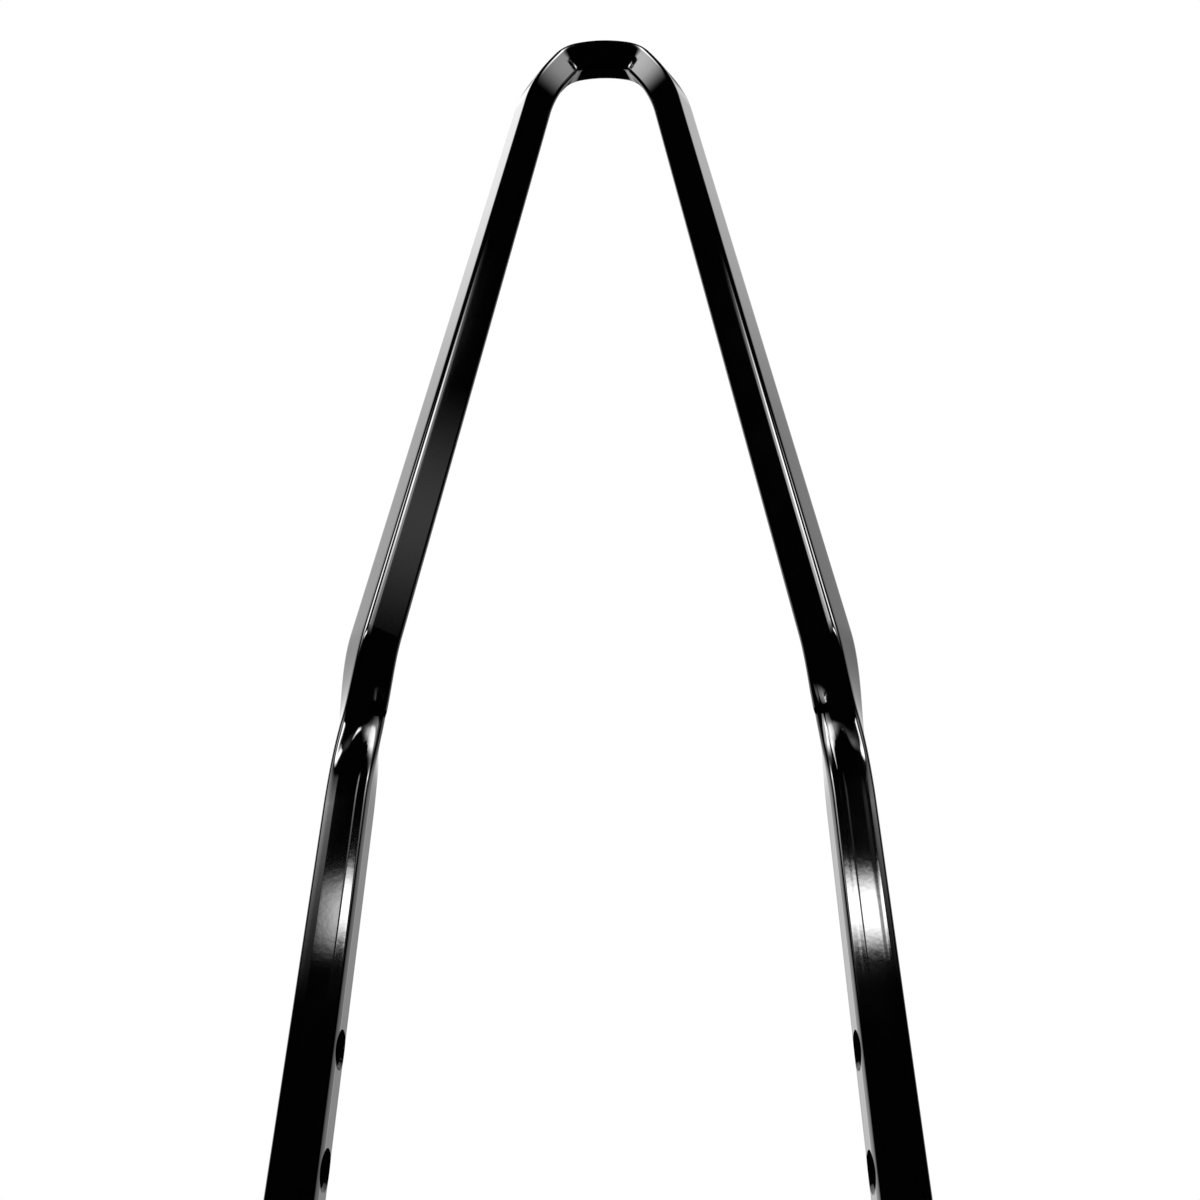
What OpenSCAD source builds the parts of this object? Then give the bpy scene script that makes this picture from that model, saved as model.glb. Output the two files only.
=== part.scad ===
// Sissy bar: one length of square steel tube bent into a tall narrow arch.
// Millimetres. The origin is midway between the two pairs of bolt holes, +Z runs up
// the legs, +X points to the right leg and -Y is the side the photograph shows.

/* [Tube] */
// outside width of the square tube
tube_width = 19.05; // [16:0.05:25.4]
// outside radius of the tube's long corners
corner_radius = 2.4; // [1.5:0.1:4]
// wall of the tube
wall = 2; // [1.2:0.1:3]

/* [Legs] */
// distance between the centre lines of the two lower legs
leg_spacing = 215.3; // [180:0.1:300]
// height of the whole bar above the leg ends
overall_height = 706; // [450:1:900]
// height at which the lower and upper leg lines meet
knee_height = 218.5; // [150:0.5:300]
// how far the upper part stands in front of the lower legs at the knee
front_offset = 8.4; // [0:0.1:15]
// forward lean of the upper part, degrees
forward_lean = 1.2; // [0:0.1:10]

/* [Twist] */
// start of the twist below the knee
twist_below = 56; // [30:1:90]
// end of the twist above the knee
twist_above = 26; // [10:1:60]
// turn of the tube in the upper legs, degrees
leg_roll = 38.3; // [0:0.1:45]
// turn of the tube in the crossbar, degrees
top_roll = 35; // [0:0.1:45]

/* [Top] */
// centre line radius of the long shoulder bends
shoulder_radius = 114; // [60:1:200]
// centre line radius of the nearly straight flanks
flank_radius = 174; // [100:1:400]
// centre line radius of the two tight bends
bend_radius = 20.5; // [16:0.5:50]
// centre line radius of the arched crossbar
crossbar_radius = 57.5; // [40:0.5:300]
// heading at the end of the shoulder, degrees from upright
shoulder_end = 26.5; // [20:0.5:40]
// heading at the end of the flank, degrees from upright
flank_end = 31.5; // [25:0.5:50]
// heading at the end of the tight bend, degrees from upright
bend_end = 73.5; // [60:0.5:85]
// height of the squashed section at the top, as a part of the full height
top_squash = 0.87; // [0.75:0.01:1]

/* [Crush marks] */
// depth of the dish pressed into each twist
dish_depth = 1.5; // [0:0.1:2]
// height of the dish centre above the start of the twist
dish_rise = 31; // [15:1:60]
// half length of the dish along the tube
dish_length = 13; // [6:0.5:25]
// half width of the dish across the tube
dish_width = 4.8; // [3:0.1:6]
// depth of the wrinkle in each tight bend
wrinkle_depth = 0.9; // [0:0.1:1.5]

/* [Bolt holes] */
// diameter of the holes through each lower leg
hole_diameter = 12; // [8:0.1:13]
// distance between the two holes of a leg
hole_spacing = 41; // [30:0.5:60]
// height of the lower hole above the leg end
hole_margin = 25; // [15:0.5:50]

/* [Hidden] */
leg_x = leg_spacing / 2;
// the shapes below stand on their leg ends; bar() then lowers them by this much
mount_height = hole_margin + hole_spacing / 2;
twist_start = knee_height - twist_below;
twist_end = knee_height + twist_above;
dish_height = twist_start + dish_rise;
core_half = tube_width / 2 - corner_radius;
// half height of the squashed, rolled section in the crossbar
top_half = top_squash * (core_half * (cos(top_roll) + sin(top_roll)) + corner_radius);
// apex of the centre line, measured up the leaning plane from the knee
apex_run = (overall_height - top_half * cos(forward_lean) - knee_height) / cos(forward_lean);
bore = tube_width - 2 * wall;
bore_radius = max(corner_radius - wall, 0.4);
hole_facets = 48;
corner_steps = 3;
face_points = 5;
ring = 4 * (corner_steps + 1 + face_points);
twist_steps = 18;

function clamp01(u) = min(max(u, 0), 1);
function ease(u) = clamp01(u) * clamp01(u) * (3 - 2 * clamp01(u));
function mix(a, b, u) = a + (b - a) * u;
function unit(v) = v / norm(v);
function bump(u, half) = exp(-(u * u) / (half * half));
function total(v, i = 0) = i >= len(v) ? 0 : v[i] + total(v, i + 1);

// arcs of half the arch, from the leg up to the apex: heading from, heading to, radius
function arcs(lean) = [
    [lean, shoulder_end, shoulder_radius],
    [shoulder_end, flank_end, flank_radius],
    [flank_end, bend_end, bend_radius],
    [bend_end, 90, crossbar_radius]
];
function reach(lean, f) = total([for (a = arcs(lean)) a[2] * (cos(max(a[0], f)) - cos(max(a[1], f)))]);
function drop(lean, f) = total([for (a = arcs(lean)) a[2] * (sin(max(a[1], f)) - sin(max(a[0], f)))]);
// inward lean of the upper legs that makes them meet the arch
function solve_lean(n, lean) =
    n == 0 ? lean : solve_lean(n - 1, atan((leg_x - reach(lean, lean)) / (apex_run - drop(lean, lean))));
leg_lean = solve_lean(12, 8);

// point and heading in the leaning plane of the upper part
function in_plane(x, run) = [
    x,
    -front_offset - run * sin(forward_lean),
    knee_height + run * cos(forward_lean)
];
function plane_heading(f) = [-sin(f), -cos(f) * sin(forward_lean), cos(f) * cos(forward_lean)];

// point and heading on the curve that joins a lower leg to its upper leg
twist_run = (twist_end - knee_height) / cos(forward_lean);
curve_from = [leg_x, 0, twist_start];
curve_to = in_plane(leg_x - tan(leg_lean) * twist_run, twist_run);
curve_out = [0, 0, norm(curve_to - curve_from)];
curve_in = plane_heading(leg_lean) * norm(curve_to - curve_from);
function curve_point(u) =
    curve_from * (2 * pow(u, 3) - 3 * pow(u, 2) + 1) + curve_out * (pow(u, 3) - 2 * pow(u, 2) + u)
    + curve_to * (3 * pow(u, 2) - 2 * pow(u, 3)) + curve_in * (pow(u, 3) - pow(u, 2));
function curve_heading(u) = unit(
    (curve_to - curve_from) * (6 * u - 6 * u * u) + curve_out * (3 * u * u - 4 * u + 1)
    + curve_in * (3 * u * u - 2 * u));

// a station is: point, heading, roll, squash, dish strength, wrinkle strength
function twist_station(u) = [
    curve_point(u), curve_heading(u), leg_roll * ease(u), 1,
    bump(curve_point(u)[2] - dish_height, dish_length), 0
];
function arch_station(f) = [
    in_plane(reach(leg_lean, f), apex_run - drop(leg_lean, f)),
    plane_heading(f),
    mix(leg_roll, top_roll, ease((f - leg_lean) / (90 - leg_lean))),
    mix(1, top_squash, ease((f - leg_lean) / (bend_end - 12 - leg_lean))),
    0,
    bump(f - (flank_end + bend_end) / 2, 14)
];
function steps(from, to, n) = [for (i = [1:n]) mix(from, to, i / n)];
headings = concat(
    [leg_lean],
    steps(leg_lean, shoulder_end, 5),
    steps(shoulder_end, flank_end, 2),
    steps(flank_end, bend_end, 9),
    steps(bend_end, 90, 4));
half = concat(
    [[[leg_x, 0, 0], [0, 0, 1], 0, 1, 0, 0]],
    [for (i = [0:twist_steps]) twist_station(i / twist_steps)],
    [for (f = headings) arch_station(f)]);

// rounded square, across the tube and towards its front face
function square_ring(side, radius) = [
    for (j = [0:3])
        let (c = (side / 2 - radius) * sqrt(2), m = [c * cos(90 * j + 45), c * sin(90 * j + 45)],
             n = [c * cos(90 * j + 135), c * sin(90 * j + 135)],
             d = [radius * cos(90 * j + 90), radius * sin(90 * j + 90)])
        each concat(
            [for (i = [0:corner_steps])
                m + radius * [cos(90 * (j + i / corner_steps)), sin(90 * (j + i / corner_steps))]],
            [for (i = [1:face_points]) mix(m, n, i / (face_points + 1)) + d])
];
function pressed(p, s) = [
    p[0],
    p[1] - sign(p[1]) * dish_depth * s[4] * bump(p[0], dish_width)
        - (p[1] > 0 ? wrinkle_depth * s[5] * bump(p[0] + tube_width / 5, tube_width / 4.5) : 0)
];
function placed(p, s) =
    let (front = unit([0, -1, 0] + s[1] * s[1][1]), side = cross(s[1], front), q = pressed(p, s),
         o = (q[0] * cos(s[2]) - q[1] * sin(s[2])) * s[3],
         n = q[0] * sin(s[2]) + q[1] * cos(s[2]))
    s[0] + side * o + front * n;
function skin(outline) =
    let (right = [for (s = half) [for (p = outline) placed(p, s)]], n = len(half))
    concat(
        [for (r = right) each r],
        [for (k = [n - 2:-1:0]) each [for (p = right[k]) [-p[0], p[1], p[2]]]]);

rows = 2 * len(half) - 1;
function spot(shift, k, i) = shift + k * ring + (i % ring);
function band(shift, flip) = [
    for (k = [0:rows - 2], i = [0:ring - 1])
        let (a = spot(shift, k, i), b = spot(shift, k, i + 1),
             c = spot(shift, k + 1, i + 1), d = spot(shift, k + 1, i))
        each (flip ? [[a, b, c], [a, c, d]] : [[a, c, b], [a, d, c]])
];
function rim(k, flip) = [
    for (i = [0:ring - 1])
        let (a = spot(0, k, i), b = spot(0, k, i + 1),
             c = spot(rows * ring, k, i + 1), d = spot(rows * ring, k, i))
        each (flip ? [[a, b, c], [a, c, d]] : [[a, c, b], [a, d, c]])
];

module tube() {
    polyhedron(
        points = concat(skin(square_ring(tube_width, corner_radius)), skin(square_ring(bore, bore_radius))),
        faces = concat(band(0, false), band(rows * ring, true), rim(0, true), rim(rows - 1, false)),
        convexity = 8);
}

module bolt_holes() {
    for (side = [-1, 1], k = [0, 1])
        translate([side * leg_x, 0, hole_margin + k * hole_spacing])
            rotate([0, 90, 0])
                cylinder(d = hole_diameter, h = tube_width + 2, center = true, $fn = hole_facets);
}

module bar() {
    color([0.04, 0.04, 0.045])
        translate([0, 0, -mount_height])
            difference() {
                tube();
                bolt_holes();
            }
}

bar();
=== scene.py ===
"""Looks of the sissy bar: the tube as one fine sweep, gloss black powder coat, studio and camera."""
import math

import bpy
import numpy as np
from mathutils import Matrix, Vector


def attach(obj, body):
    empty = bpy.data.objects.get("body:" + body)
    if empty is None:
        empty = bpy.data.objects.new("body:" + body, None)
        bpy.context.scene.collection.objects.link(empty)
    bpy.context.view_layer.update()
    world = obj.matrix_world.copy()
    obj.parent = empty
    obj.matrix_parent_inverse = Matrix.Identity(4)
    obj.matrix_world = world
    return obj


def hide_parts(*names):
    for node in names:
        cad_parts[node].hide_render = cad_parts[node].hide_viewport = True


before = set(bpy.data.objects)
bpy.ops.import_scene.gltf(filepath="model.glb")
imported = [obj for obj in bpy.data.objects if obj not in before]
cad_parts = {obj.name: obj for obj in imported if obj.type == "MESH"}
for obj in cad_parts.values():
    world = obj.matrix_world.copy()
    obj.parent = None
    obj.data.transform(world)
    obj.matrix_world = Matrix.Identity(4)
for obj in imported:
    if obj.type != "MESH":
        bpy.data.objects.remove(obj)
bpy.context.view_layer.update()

MM = 0.001

# Sizes in millimetres and degrees, the same as in the part's source
TUBE_WIDTH = 19.05
CORNER_RADIUS = 2.4
WALL = 2.0
LEG_SPACING = 215.3
OVERALL_HEIGHT = 706.0
KNEE_HEIGHT = 218.5
FRONT_OFFSET = 8.4
FORWARD_LEAN = 1.2
TWIST_BELOW = 56.0
TWIST_ABOVE = 26.0
LEG_ROLL = 38.3
TOP_ROLL = 35.0
SHOULDER_RADIUS = 114.0
FLANK_RADIUS = 174.0
BEND_RADIUS = 20.5
CROSSBAR_RADIUS = 57.5
SHOULDER_END = 26.5
FLANK_END = 31.5
BEND_END = 73.5
TOP_SQUASH = 0.87
DISH_DEPTH = 1.5
DISH_RISE = 31.0
DISH_LENGTH = 13.0
DISH_WIDTH = 4.8
WRINKLE_DEPTH = 0.9
HOLE_DIAMETER = 12.0
HOLE_SPACING = 41.0
HOLE_MARGIN = 25.0

HALF_WIDTH = TUBE_WIDTH / 2
LEG_X = LEG_SPACING / 2
MOUNT_HEIGHT = HOLE_MARGIN + HOLE_SPACING / 2
TWIST_TOP = KNEE_HEIGHT + TWIST_ABOVE

# Fineness of the sweep and the holes
TWIST_STEPS = 170
ARC_STEPS = {"shoulder": 30, "flank": 10, "bend": 50, "crossbar": 20}
CORNER_STEPS = 12
BORE_EVERY = 4
HOLE_SIDES = 96

# Forward step of each knee: its lower end above the leg's end, its first slope, and how many stations a mean takes
STEP_FROM = 200.0
STEP_SLOPE = 1.0
STEP_MEAN = 5

# Outer section of the rolled tube: how far a face tilts at each distance from its middle. Lower legs are flat at
# first, then have a hair line, then a soft shoulder towards the corner. Above the knees the hair line is gone.
# The outer half of the lower legs' front faces has its own tilts on top.
TILT_AT = np.array([0.0, 2.0, 4.2, 4.35, 4.8, 4.9, 5.1, 5.5, 6.0, 6.2, 6.4, 7.0, 7.8])
LINED_TILT = np.array([0.0, 0.0, 0.0, -4.3, -4.3, 0.0, 6.0, 6.0, 7.0, 7.5, 8.0, 10.0, 12.0])
PLAIN_TILT = np.array([0.0, 0.0, 0.0, 0.0, 0.0, 0.0, 0.0, 0.0, 0.5, 0.8, 1.2, 4.0, 13.0])
OUTER_TILT = np.array([0.0, 0.0, 0.0, 7.8, 8.3, 4.0, -2.0, -2.0, -2.8, -3.1, -3.4, -3.0, -2.0])
TILT_SAMPLES = 400
LINED_TOP = 195.0
LINED_FADE = 25.0
SIDE_STEPS = np.unique(np.concatenate([TILT_AT, (TILT_AT[1:] + TILT_AT[:-1]) / 2]))
FACE_STEPS = np.concatenate([-SIDE_STEPS[:0:-1], SIDE_STEPS])
BORE_RADIUS = 0.5

# The right leg's front face only: its pattern lies further inwards, and it has one more drawn line
FACE_SHIFT = 2.0
LINE_AT = -6.2
LINE_WIDTH = 0.22
LINE_DEPTH = 0.07

# Shelf and bevel pressed into the inner side of each knee's front face. Rises count from the leg's end and
# distances across from the middle of the face outwards. The shelf begins, is full, folds back and ends at
# SHELF_RISE. The fold is sharp on the inner side and spreads out towards the outer side.
SHELF_RISE = (172.0, 192.0, 206.5, 209.5)
SHELF_WALL = (1.5, 7.5)
SHELF_SKEW = 0.08
SHELF_DEPTH = 1.0
BEVEL_DEPTH = 1.45
FOLD_SIDE = (-3.5, 1.5)
FOLD_SPREAD = 18.0

# Soft mound in the middle of each knee and ridge above its fold:
# rise, distance across, half length, half width, turn and depth
MOUND = (207.0, 1.5, 8.5, 5.0, 0, -1.0)
RIDGES = {"right": (209.5, -3.4, 9.5, 4.2, -14, -1.0), "left": (211.0, -1.2, 10.0, 5.0, 14, -1.15)}

# Wrinkle in the front face of each top bend, and where the squash of the top is reached
WRINKLE_SPAN = 14.0
WRINKLE_SIDE = TUBE_WIDTH / 5
WRINKLE_WIDTH = TUBE_WIDTH / 4.5
SQUASH_END = BEND_END - 12

# Broken edge of the holes, and how far the drill reaches past the tube's faces
HOLE_BREAK = 1.3
DRILL_FLARE = 4.0

SMOOTH_ANGLE = 35

# Camera in millimetres and degrees, found from the photograph's edges with the tube's width as the unit
CAMERA_PLACE = (0.635 * TUBE_WIDTH, -23.103 * TUBE_WIDTH, -60.4)
CAMERA_YAW = -1.587
CAMERA_PITCH = 32.88
CAMERA_ROLL = 0.361
SENSOR_WIDTH = 36
FOCAL_SHARE = 0.907

# Studio in metres. Each lamp is aimed at the part of the bar that mirrors it.
FLOOR_SIZE = 12
FLOOR_DEPTH = 0.12
LAMP_DISTANCE = 4.0
AIMS = {"low": (0.0, -0.01, 0.08), "top": (0.0, -0.03, 0.62), "left": (-0.09, -0.02, 0.28)}
# Name: aim, azimuth from the camera's side to +X, elevation, width and height in degrees, brightness,
# soft share at the left, at the right, and at both ends
LAMPS = {
    "front": ("low", 1, 16.8, 38.0, 5.2, 30, 0.3, 0.3, 0.9),
    "side_right": ("top", -37.6, 22, 41, 36, 8.8, 0.2, 1.0, 1.0),
    "side_left": ("top", 35.8, 23, 41, 36, 4.4, 1.0, 0.2, 1.0),
    "glow": ("left", 58, 25, 26, 17, 0.8, 1.0, 0.5, 1.0),
    "bend_left": ("low", 32, 33, 25, 25, 20, 0.9, 0.5, 1.0),
    "bend_right": ("low", -32, 33, 25, 25, 20, 0.5, 0.9, 1.0),
}
# Name: left and right end, distance behind the bar, lower and upper end
FLAGS = {
    "flag_front": (-0.3, 0.3, -1.0, 0.68, 0.98),
    "flag_back": (-0.33, 0.25, 1.0, 0.66, 1.0),
}

# Backdrop that a gloss sees. Name: axis of the direction, from, to, share or brightness there
BACKDROP = {
    "behind": ("Y", 0.08, 0.28, 0.0, 1.0),
    "above": ("Z", 0.02, 0.06, 0.0, 1.0),
    "left": ("X", -0.1, 0.15, 1.4, 0.85),
    "high": ("Z", 0.7, 0.86, 1.0, 1.65),
    "top": ("Z", 0.4, 0.6, 0.0, 1.0),
}
# The backdrop's upper part is dim in the middle: distance from there, brightness
DIM_MIDDLE = (0.12, 0.3, 0.05, 1.0)
ROOM_LIGHT = 0.002
SOFT_LIGHT = 0.6


def ease(u):
    u = np.clip(u, 0, 1)
    return u * u * (3 - 2 * u)


def bump(u, half):
    return np.exp(-((u / half) ** 2))


def unit(v):
    return v / np.linalg.norm(v, axis=-1, keepdims=True)


def arcs(lean):
    """Half the arch from the leg to the apex: heading from, heading to, radius."""
    return (
        (lean, SHOULDER_END, SHOULDER_RADIUS),
        (SHOULDER_END, FLANK_END, FLANK_RADIUS),
        (FLANK_END, BEND_END, BEND_RADIUS),
        (BEND_END, 90.0, CROSSBAR_RADIUS),
    )


def reach(lean, heading):
    """Distance outwards from the apex of the point with the given heading."""
    return sum(
        r * (np.cos(np.radians(np.maximum(a, heading))) - np.cos(np.radians(np.maximum(b, heading))))
        for a, b, r in arcs(lean)
    )


def drop(lean, heading):
    """Distance below the apex of the point with the given heading."""
    return sum(
        r * (np.sin(np.radians(np.maximum(b, heading))) - np.sin(np.radians(np.maximum(a, heading))))
        for a, b, r in arcs(lean)
    )


LEAN_SIN = math.sin(math.radians(FORWARD_LEAN))
LEAN_COS = math.cos(math.radians(FORWARD_LEAN))
TOP_TURN = math.radians(TOP_ROLL)
TOP_HALF = TOP_SQUASH * ((HALF_WIDTH - CORNER_RADIUS) * (math.cos(TOP_TURN) + math.sin(TOP_TURN)) + CORNER_RADIUS)
APEX_RUN = (OVERALL_HEIGHT - TOP_HALF * LEAN_COS - KNEE_HEIGHT) / LEAN_COS


def solve_lean():
    """Inward lean of the upper legs that makes them meet the arch."""
    lean = 8.0
    for _ in range(12):
        lean = math.degrees(math.atan((LEG_X - reach(lean, lean)) / (APEX_RUN - drop(lean, lean))))
    return lean


LEG_LEAN = solve_lean()


def in_plane(x, run):
    """Points in the leaning plane of the upper part."""
    x, run = np.broadcast_arrays(np.asarray(x, float), np.asarray(run, float))
    return np.stack([x, -FRONT_OFFSET - run * LEAN_SIN, KNEE_HEIGHT + run * LEAN_COS], axis=-1)


def plane_heading(heading):
    a = np.radians(heading)
    return np.stack([-np.sin(a), -np.cos(a) * LEAN_SIN, np.cos(a) * LEAN_COS], axis=-1)


def step_depth(rise, end):
    """Depth of the centre line through the forward step, up to the twist's end point."""
    run = end[2] - STEP_FROM
    w = np.clip((rise - STEP_FROM) / run, 0, 1)
    below, above = (math.tan(math.radians(slope)) for slope in (STEP_SLOPE, FORWARD_LEAN))
    depth = end[1] * w**2 * (3 - 2 * w) - run * w * (w - 1) * (below * (w - 1) + above * w)
    windows = np.arange(STEP_MEAN)[:, None] + np.arange(len(depth))
    depth[1:-1] = np.pad(depth, STEP_MEAN // 2, "edge")[windows].mean(0)[1:-1]
    return depth


def twist_curve(u):
    """Points and headings of the smooth curve from a lower leg to its upper leg."""
    run = TWIST_ABOVE / LEAN_COS
    start = np.array([LEG_X, 0.0, KNEE_HEIGHT - TWIST_BELOW])
    end = in_plane(LEG_X - math.tan(math.radians(LEG_LEAN)) * run, run)
    span = np.linalg.norm(end - start)
    out = np.array([0.0, 0.0, span])
    into = plane_heading(LEG_LEAN) * span
    u = u[:, None]
    points = (
        start * (2 * u**3 - 3 * u**2 + 1)
        + out * (u**3 - 2 * u**2 + u)
        + end * (3 * u**2 - 2 * u**3)
        + into * (u**3 - u**2)
    )
    points[:, 1] = step_depth(points[:, 2], end)
    headings = np.gradient(points, axis=0)
    headings[0], headings[-1] = out, into
    return points, unit(headings)


def half_stations():
    """Stations from a leg's end to the apex, as one dictionary of arrays."""
    u = np.linspace(0, 1, TWIST_STEPS + 1)
    twist_points, twist_headings = twist_curve(u)
    pieces = [
        np.linspace(a, b, ARC_STEPS[name] + 1)[(0 if name == "shoulder" else 1):]
        for (a, b, _), name in zip(arcs(LEG_LEAN), ARC_STEPS)
    ]
    headings = np.concatenate(pieces)
    arch_points = in_plane(reach(LEG_LEAN, headings), APEX_RUN - drop(LEG_LEAN, headings))
    turned_up = headings - LEG_LEAN
    return {
        "point": np.concatenate([[[LEG_X, 0.0, 0.0]], twist_points, arch_points]),
        "heading": np.concatenate([[[0, 0, 1.0]], twist_headings, plane_heading(headings)]),
        "roll": np.concatenate([
            [0.0],
            LEG_ROLL * ease(u),
            LEG_ROLL + (TOP_ROLL - LEG_ROLL) * ease(turned_up / (90 - LEG_LEAN)),
        ]),
        "squash": np.concatenate([
            [1.0],
            np.ones_like(u),
            1 + (TOP_SQUASH - 1) * ease(turned_up / (SQUASH_END - LEG_LEAN)),
        ]),
        "dish": np.concatenate([
            [0.0],
            bump(twist_points[:, 2] - (KNEE_HEIGHT - TWIST_BELOW + DISH_RISE), DISH_LENGTH),
            np.zeros_like(headings),
        ]),
        "wrinkle": np.concatenate([
            [0.0],
            np.zeros_like(u),
            bump(headings - (FLANK_END + BEND_END) / 2, WRINKLE_SPAN),
        ]),
    }


def section(half, steps, fall, tilt):
    """Ring of one section: faces with the given fall at each step, and corners that start at tilt."""
    last = steps[-1]
    radius = (half - fall[-1] - last) / (math.cos(tilt) - math.sin(tilt))
    face = np.stack([half - fall, steps], axis=1)
    a = np.linspace(tilt, math.pi / 2 - tilt, CORNER_STEPS + 1)[1:-1]
    corner = np.stack([
        half - fall[-1] - radius * (math.cos(tilt) - np.cos(a)),
        last + radius * (np.sin(a) - math.sin(tilt)),
    ], axis=1)
    quarter = np.concatenate([face, corner])
    swapped = quarter[:, ::-1]
    return np.concatenate([quarter, swapped * [-1, 1], -quarter, swapped * [1, -1]])


def fall_at(across, tilt):
    """How far a face has fallen at each distance from its middle: its tilts, summed up."""
    fine = np.linspace(0, TILT_AT[-1], TILT_SAMPLES)
    slope = np.tan(np.radians(np.interp(fine, TILT_AT, tilt)))
    fallen = np.concatenate([[0], np.cumsum((slope[1:] + slope[:-1]) / 2 * np.diff(fine))])
    return np.interp(across, fine, fallen)


def lined_share(rise):
    """1 on the lower legs and 0 above the knees' lower part."""
    return ease((LINED_TOP - rise) / LINED_FADE)


def outer_section(rise):
    """The rolled outer skin at each station: lined on the lower legs, plain above."""
    lined, plain = (
        section(HALF_WIDTH, FACE_STEPS, fall_at(np.abs(FACE_STEPS), tilt), math.radians(tilt[-1]))
        for tilt in (LINED_TILT, PLAIN_TILT)
    )
    return plain + (lined - plain) * lined_share(rise)[:, None, None]


def bore_section():
    half = HALF_WIDTH - WALL
    steps = FACE_STEPS * (half - BORE_RADIUS) / FACE_STEPS[-1]
    return section(half, steps, np.zeros_like(steps), 0.0)[None]


def soft_dent(rise, across, at_rise, at_across, length, width, turn, depth):
    c, k = math.cos(math.radians(turn)), math.sin(math.radians(turn))
    along = (c * (rise - at_rise) + k * (across - at_across)) / length
    beside = (c * (across - at_across) - k * (rise - at_rise)) / width
    return depth * np.exp(-along**2 - beside**2)


def dented(side, rise, across):
    """Depth of everything pressed into one leg's front face, or raised from it."""
    begin, full, fold, end = SHELF_RISE
    wall_from, wall_to = SHELF_WALL
    wall = 1 - ease((across - wall_from + SHELF_SKEW * (rise - full)) / (wall_to - wall_from))
    bevel = (-across / HALF_WIDTH).clip(0, 1) ** 2
    depth = SHELF_DEPTH * wall + BEVEL_DEPTH * bevel
    spread = end - fold + FOLD_SPREAD * ease((across - FOLD_SIDE[0]) / (FOLD_SIDE[1] - FOLD_SIDE[0]))
    depth = depth * ease((rise - begin) / (full - begin)) * ease((fold + spread - rise) / spread)
    depth = depth + fall_at(across, OUTER_TILT) * lined_share(rise)
    above = ease((rise - fold) / (end - fold))
    return depth + soft_dent(rise, across, *MOUND) + soft_dent(rise, across, *RIDGES[side]) * above


def half_skin(ring, s, side):
    """One leg's half of the swept surface, from its end to the apex, on the +X side."""
    across, up = ring[..., 0], ring[..., 1]
    front, flat = up > 0, np.abs(up) > np.abs(across)
    rise = s["point"][:, 2:3]
    line = 0
    if side == "right":
        fade = ease((TWIST_TOP - rise) / TWIST_ABOVE)
        line = front * flat * LINE_DEPTH * fade * bump(across - LINE_AT, LINE_WIDTH)
        across = across + front * flat * FACE_SHIFT * fade * (1 - (across / TILT_AT[-1]) ** 2).clip(0)
    pressed = (
        up - line
        - ease(up / HALF_WIDTH) * dented(side, rise, across)
        + ~front * DISH_DEPTH * s["dish"][:, None] * bump(across, DISH_WIDTH)
        - front * WRINKLE_DEPTH * s["wrinkle"][:, None] * bump(across + WRINKLE_SIDE, WRINKLE_WIDTH)
    )
    forth = unit(np.array([0.0, -1.0, 0.0]) + s["heading"] * s["heading"][:, 1:2])
    aside = np.cross(s["heading"], forth)
    roll = np.radians(s["roll"])[:, None]
    outward = (across * np.cos(roll) - pressed * np.sin(roll)) * s["squash"][:, None]
    forward = across * np.sin(roll) + pressed * np.cos(roll)
    return s["point"][:, None] + aside[:, None] * outward[..., None] + forth[:, None] * forward[..., None]


def skin(ring, s):
    """The swept surface, rows of points from the right leg's end over the top to the left leg's end."""
    left = half_skin(ring, s, "left")[-2::-1] * np.array([-1.0, 1.0, 1.0])
    rows = np.concatenate([half_skin(ring, s, "right"), left])
    rows[..., 2] -= MOUNT_HEIGHT
    return rows * MM


def strip_faces(rows, ring, start, flip):
    """Faces between the neighbouring rows of one skin."""
    k, i = np.meshgrid(np.arange(rows - 1), np.arange(ring), indexing="ij")
    j = (i + 1) % ring
    a, b, c, d = k * ring + i, k * ring + j, (k + 1) * ring + j, (k + 1) * ring + i
    quads = np.stack([a, b, c, d] if flip else [a, d, c, b], axis=-1).reshape(-1, 4)
    return (quads + start).tolist()


def rim_faces(row, inner_row, ring, inner_start, flip):
    """Faces across the wall at one end of the tube."""
    i = np.arange(ring)
    j = (i + 1) % ring
    a, b = row * ring + i, row * ring + j
    c, d = inner_start + inner_row * ring + j, inner_start + inner_row * ring + i
    return np.stack([a, b, c, d] if flip else [a, d, c, b], axis=-1).tolist()


def make_object(name, points, faces):
    mesh = bpy.data.meshes.new(name)
    mesh.from_pydata(points, [], faces)
    made = bpy.data.objects.new(name, mesh)
    bpy.context.scene.collection.objects.link(made)
    return made


def make_tube():
    """The hollow tube, wall and all, as one closed mesh."""
    stations = half_stations()
    outer = skin(outer_section(stations["point"][:, 2]), stations)
    inner = skin(bore_section(), stations)
    inner = np.concatenate([inner[:2], inner[2:-2:BORE_EVERY], inner[-2:]])
    rows, ring = outer.shape[:2]
    count = rows * ring
    faces = strip_faces(rows, ring, 0, False) + strip_faces(len(inner), ring, count, True)
    faces += rim_faces(0, 0, ring, count, True) + rim_faces(rows - 1, len(inner) - 1, ring, count, False)
    points = np.concatenate([outer.reshape(-1, 3), inner.reshape(-1, 3)])
    tube = make_object("bent_tube", points.tolist(), faces)
    tube.data.validate()
    return tube


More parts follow.
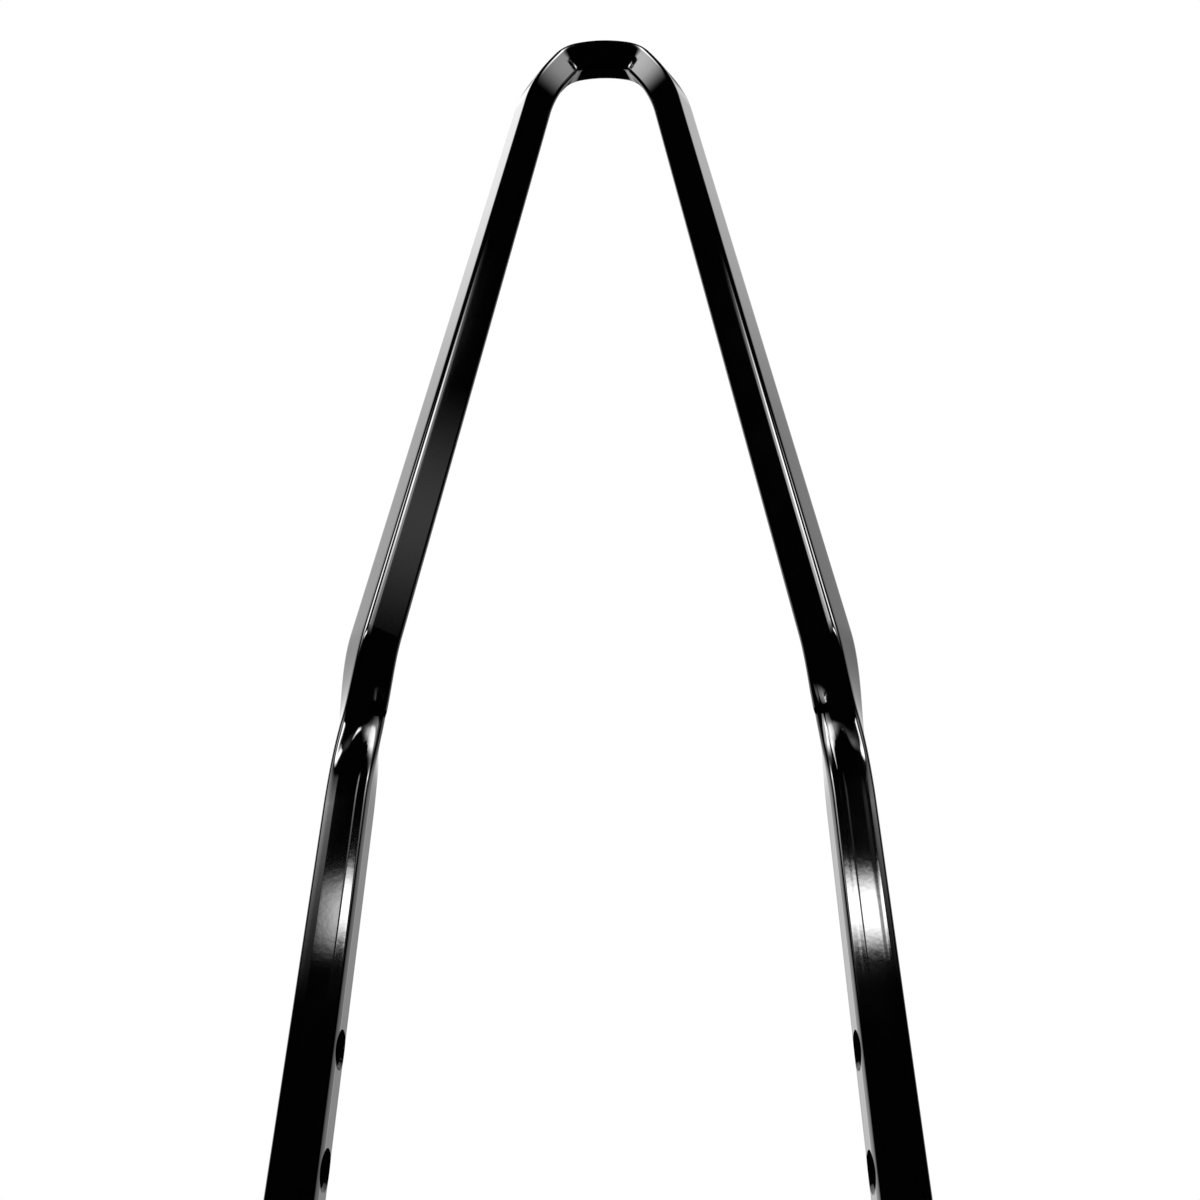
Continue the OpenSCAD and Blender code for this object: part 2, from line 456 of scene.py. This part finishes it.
def make_drill(x, z):
    """A drill along X that cuts one bolt hole through a leg and breaks its edges."""
    edge = HALF_WIDTH - HOLE_BREAK
    radius = HOLE_DIAMETER / 2
    tip, wide = edge + DRILL_FLARE, radius + DRILL_FLARE
    rings = ((-tip, wide), (-edge, radius), (edge, radius), (tip, wide))
    a = np.linspace(0, 2 * math.pi, HOLE_SIDES + 1)[:-1]
    points = np.concatenate([
        np.stack([a * 0 + x + at, r * np.cos(a), z + r * np.sin(a)], axis=1) for at, r in rings
    ])
    faces = strip_faces(len(rings), HOLE_SIDES, 0, True)
    i = np.arange(HOLE_SIDES)
    faces += [i[::-1].tolist(), (i + (len(rings) - 1) * HOLE_SIDES).tolist()]
    return make_object("drill", (points * MM).tolist(), faces)


def apply(piece, modifier):
    bpy.context.view_layer.objects.active = piece
    bpy.ops.object.modifier_apply(modifier=modifier.name)


def drill_holes(tube):
    for side in (-1, 1):
        for z in (-HOLE_SPACING / 2, HOLE_SPACING / 2):
            drill = make_drill(side * LEG_X, z)
            cut = tube.modifiers.new("hole", "BOOLEAN")
            cut.operation = "DIFFERENCE"
            cut.object = drill
            cut.solver = "EXACT"
            apply(tube, cut)
            bpy.data.objects.remove(drill)


def smooth(piece):
    piece.data.shade_smooth()
    piece.data.set_sharp_from_angle(angle=math.radians(SMOOTH_ANGLE))
    weighted = piece.modifiers.new("weighted", "WEIGHTED_NORMAL")
    weighted.keep_sharp = True
    weighted.weight = 100
    apply(piece, weighted)


def noise(tree, scale, detail):
    """Noise fixed to the object."""
    node = tree.nodes.new("ShaderNodeTexNoise")
    node.inputs["Scale"].default_value = scale
    node.inputs["Detail"].default_value = detail
    node.inputs["Roughness"].default_value = 0.5
    place = tree.nodes.new("ShaderNodeTexCoord").outputs["Object"]
    tree.links.new(place, node.inputs["Vector"])
    return node.outputs["Fac"]


def ramp(tree, value, start, end, at_start, at_end, kind="SMOOTHSTEP"):
    node = tree.nodes.new("ShaderNodeMapRange")
    node.interpolation_type = kind
    node.inputs["From Min"].default_value = start
    node.inputs["From Max"].default_value = end
    node.inputs["To Min"].default_value = at_start
    node.inputs["To Max"].default_value = at_end
    tree.links.new(value, node.inputs["Value"])
    return node.outputs["Result"]


def times(tree, a, b):
    node = tree.nodes.new("ShaderNodeMath")
    node.operation = "MULTIPLY"
    tree.links.new(a, node.inputs[0])
    tree.links.new(b, node.inputs[1])
    return node.outputs[0]


def blend(tree, share, a, b, kind="FLOAT"):
    """a where the share is 0 and b where it is 1, each a value or another node's output."""
    node = tree.nodes.new("ShaderNodeMix")
    node.data_type = kind
    tree.links.new(share, node.inputs["Factor"])
    for name, value in (("A", a), ("B", b)):
        if isinstance(value, bpy.types.NodeSocket):
            tree.links.new(value, node.inputs[name])
        else:
            node.inputs[name].default_value = value
    return node.outputs["Result"]


def relief(tree, height, distance, strength, normal=None):
    node = tree.nodes.new("ShaderNodeBump")
    node.inputs["Distance"].default_value = distance
    node.inputs["Strength"].default_value = strength
    tree.links.new(height, node.inputs["Height"])
    if normal is not None:
        tree.links.new(normal, node.inputs["Normal"])
    return node.outputs["Normal"]


def mottled(name, pattern, dark, light):
    """A new material whose colour varies between two tones, with its node tree and shader."""
    material = bpy.data.materials.new(name)
    material.use_nodes = True
    tree = material.node_tree
    shader = tree.nodes["Principled BSDF"]
    tones = blend(tree, noise(tree, *pattern), (*dark, 1), (*light, 1), "RGBA")
    tree.links.new(tones, shader.inputs["Base Color"])
    return material, tree, shader


def powder_coat():
    """Gloss black powder coat: a slow orange peel, a fine grain and a slightly uneven gloss."""
    grain = (2600, 2)
    material, tree, shader = mottled(
        "gloss_black_powder_coat", grain, (0.0001, 0.0001, 0.00012), (0.0003, 0.0003, 0.00035))
    sway = noise(tree, 45, 1)
    tree.links.new(ramp(tree, sway, 0.3, 0.7, 0.03, 0.055, "LINEAR"), shader.inputs["Roughness"])
    swayed = relief(tree, sway, 0.0004, 0.04)
    peeled = relief(tree, noise(tree, 420, 1.5), 0.00006, 0.07, swayed)
    grained = relief(tree, noise(tree, *grain), 0.00001, 0.05, peeled)
    tree.links.new(grained, shader.inputs["Normal"])
    shader.inputs["IOR"].default_value = 1.52
    return material


def pale_floor():
    material, _, shader = mottled("pale_floor", (3, 2), (0.86,) * 3, (0.9,) * 3)
    shader.inputs["Roughness"].default_value = 0.8
    return material


def black_cloth():
    material, _, shader = mottled("black_cloth", (40, 2), (0.001,) * 3, (0.003,) * 3)
    shader.inputs["Roughness"].default_value = 1.0
    shader.inputs["Specular IOR Level"].default_value = 0.0
    return material


def soft_edge(tree, offset, axis, half, soft):
    """1 in the middle of a panel and 0 at the edge that its axis points to."""
    along = tree.nodes.new("ShaderNodeVectorMath")
    along.operation = "DOT_PRODUCT"
    tree.links.new(offset, along.inputs[0])
    along.inputs[1].default_value = axis / half
    return ramp(tree, along.outputs["Value"], 1.0, 1.0 - soft, 0.0, 1.0)


def soften(lamp, centre, across, up, soft_left, soft_right, soft_ends):
    """Let a panel's light fade towards its edges."""
    lamp.use_nodes = True
    tree = lamp.node_tree
    offset = tree.nodes.new("ShaderNodeVectorMath")
    offset.operation = "SUBTRACT"
    tree.links.new(tree.nodes.new("ShaderNodeNewGeometry").outputs["Position"], offset.inputs[0])
    offset.inputs[1].default_value = centre
    left, right, low, high = (
        soft_edge(tree, offset.outputs["Vector"], axis, size / 2, soft)
        for axis, size, soft in (
            (-across, lamp.size, soft_left),
            (across, lamp.size, soft_right),
            (-up, lamp.size_y, soft_ends),
            (up, lamp.size_y, soft_ends),
        )
    )
    light = times(tree, times(tree, left, right), times(tree, low, high))
    tree.links.new(light, tree.nodes["Emission"].inputs["Strength"])


def panel(name, aim, azimuth, elevation, width, height, brightness, *soft):
    """A flat lamp that faces its aim and fills the given angles as seen from there."""
    a, e = math.radians(azimuth), math.radians(elevation)
    direction = Vector((math.sin(a) * math.cos(e), -math.cos(a) * math.cos(e), math.sin(e)))
    turn = direction.to_track_quat("Z", "Y")
    lamp = bpy.data.lights.new(name, "AREA")
    lamp.shape = "RECTANGLE"
    lamp.size = 2 * LAMP_DISTANCE * math.tan(math.radians(width / 2))
    lamp.size_y = 2 * LAMP_DISTANCE * math.tan(math.radians(height / 2))
    lamp.energy = brightness * math.pi * lamp.size * lamp.size_y
    lamp_object = bpy.data.objects.new(name, lamp)
    lamp_object.location = Vector(AIMS[aim]) + direction * LAMP_DISTANCE
    lamp_object.rotation_euler = turn.to_euler()
    lamp_object.visible_camera = False
    bpy.context.scene.collection.objects.link(lamp_object)
    soften(lamp, lamp_object.location, turn @ Vector((1, 0, 0)), turn @ Vector((0, 1, 0)), *soft)


def white_world():
    """White to the camera; a gloss sees a white backdrop behind the bar and a dark room before it."""
    world = bpy.data.worlds.new("studio")
    bpy.context.scene.world = world
    world.use_nodes = True
    tree = world.node_tree
    background = tree.nodes["Background"]
    background.inputs["Color"].default_value = (1, 1, 1, 1)
    split = tree.nodes.new("ShaderNodeSeparateXYZ")
    tree.links.new(tree.nodes.new("ShaderNodeTexCoord").outputs["Generated"], split.inputs["Vector"])
    behind, above, left, high, top = (
        ramp(tree, split.outputs[axis], *values) for axis, *values in BACKDROP.values()
    )
    aside = tree.nodes.new("ShaderNodeMath")
    aside.operation = "ABSOLUTE"
    tree.links.new(split.outputs["X"], aside.inputs[0])
    dim = blend(tree, top, 1.0, ramp(tree, aside.outputs[0], *DIM_MIDDLE))
    glow = times(tree, left, times(tree, high, dim))
    room = tree.nodes.new("ShaderNodeMath")
    room.operation = "ADD"
    tree.links.new(times(tree, times(tree, behind, above), glow), room.inputs[0])
    room.inputs[1].default_value = ROOM_LIGHT
    path = tree.nodes.new("ShaderNodeLightPath")
    mirrored = blend(tree, path.outputs["Is Glossy Ray"], SOFT_LIGHT, room.outputs[0])
    seen = blend(tree, path.outputs["Is Camera Ray"], mirrored, 1.0)
    tree.links.new(seen, background.inputs["Strength"])


def make_flag(name, left, right, y, low, high):
    """A black flag that keeps a lamp or the backdrop out of the top bends' gloss."""
    corners = [(left, y, low), (right, y, low), (right, y, high), (left, y, high)]
    flag = make_object(name, corners, [(0, 1, 2, 3)])
    flag.data.materials.append(black_cloth())
    flag.visible_camera = False
    flag.visible_diffuse = False
    flag.visible_shadow = False


def make_floor():
    bpy.ops.mesh.primitive_plane_add(size=FLOOR_SIZE, location=(0, 0, -FLOOR_DEPTH))
    floor = bpy.context.object
    floor.name = "floor"
    floor.data.materials.append(pale_floor())
    floor.visible_glossy = False


def make_camera():
    camera = bpy.data.cameras.new("camera")
    camera.sensor_fit = "HORIZONTAL"
    camera.sensor_width = SENSOR_WIDTH
    camera.lens = SENSOR_WIDTH * FOCAL_SHARE
    camera.clip_start = 0.01
    camera.clip_end = 50
    camera_object = bpy.data.objects.new("camera", camera)
    turn = (
        Matrix.Rotation(math.radians(-CAMERA_YAW), 4, "Z")
        @ Matrix.Rotation(math.radians(90 + CAMERA_PITCH), 4, "X")
        @ Matrix.Rotation(math.radians(CAMERA_ROLL), 4, "Z")
    )
    camera_object.matrix_world = Matrix.Translation(Vector(CAMERA_PLACE) * MM) @ turn
    bpy.context.scene.collection.objects.link(camera_object)
    bpy.context.scene.camera = camera_object


make_camera()
bar = make_tube()
drill_holes(bar)
smooth(bar)
bar.data.materials.clear()
bar.data.materials.append(powder_coat())
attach(bar, "root")
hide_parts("bar")

make_floor()
for flag_name, flag_values in FLAGS.items():
    make_flag(flag_name, *flag_values)
white_world()
for lamp_name, lamp_values in LAMPS.items():
    panel(lamp_name, *lamp_values)
bpy.context.scene.view_settings.view_transform = "Standard"
